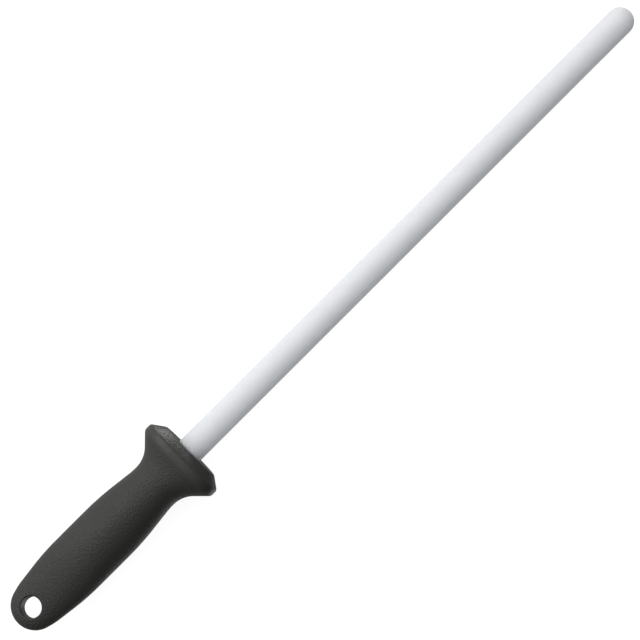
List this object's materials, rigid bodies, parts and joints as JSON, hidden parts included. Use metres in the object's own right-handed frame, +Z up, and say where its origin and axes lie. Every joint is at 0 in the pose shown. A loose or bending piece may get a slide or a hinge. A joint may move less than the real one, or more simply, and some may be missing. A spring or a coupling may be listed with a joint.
{
  "type": "knife honing rod",
  "caption": "Knife honing rod: a plain white ceramic rod with a domed tip, fixed in a black moulded handle with a flared oval guard and a hanging hole in its flattened butt.",
  "frame": {"origin": "below the middle of the whole steel, on the surface that the guard's broad side rests on", "axes": "+X along the rod to its tip, +Y across the handle's wide way, +Z up through its thin way"},
  "size_m": [0.4244, 0.0462, 0.0291],
  "materials": {
    "white_ceramic": "satin",
    "black_grip": "satin",
    "grey_core": "satin",
    "adhesive": "satin",
    "elastomer": "matte"
  },
  "bodies": {
    "root": {"ceramic_rod": "white_ceramic", "handle_grip": "black_grip", "handle_core": "grey_core", "rod_bond": "adhesive", "end_cushion": "elastomer"}
  },
  "joints": []
}
